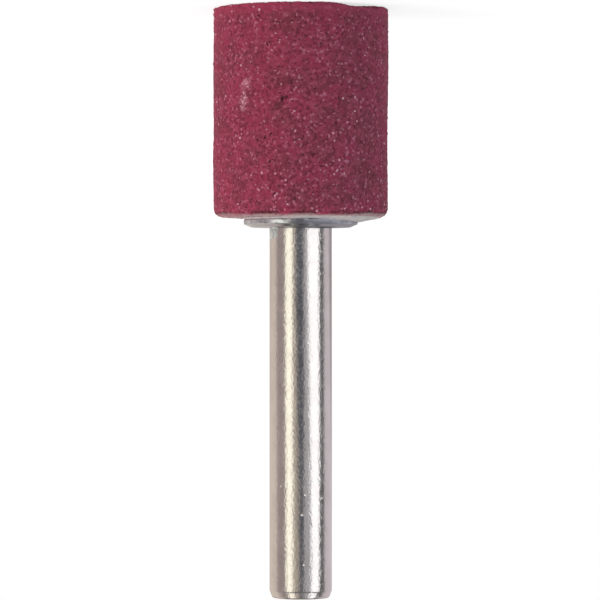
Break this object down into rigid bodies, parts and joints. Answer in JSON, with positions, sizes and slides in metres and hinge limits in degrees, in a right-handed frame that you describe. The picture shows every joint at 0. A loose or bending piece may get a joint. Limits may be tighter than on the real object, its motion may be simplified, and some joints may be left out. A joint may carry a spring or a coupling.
{
  "type": "mounted point",
  "caption": "Cylindrical abrasive grinding head cemented to a plain round steel spindle with a collar, gripped by its shank in a collet.",
  "frame": {"origin": "centre of the head's free end face, on the axis", "axes": "+Z along the axis from the head towards the shank's tip; -Y is the side that the picture shows"},
  "size_m": [0.017, 0.017, 0.0567],
  "materials": {
    "abrasive": "coarse matt bonded grain",
    "cement": "matt set cement",
    "collar_steel": "dull pressed steel",
    "spindle_steel": "bright ground steel"
  },
  "bodies": {
    "root": {"abrasive_head": "abrasive", "bonding_cement": "cement", "collar": "collar_steel", "spindle": "spindle_steel"}
  },
  "joints": []
}
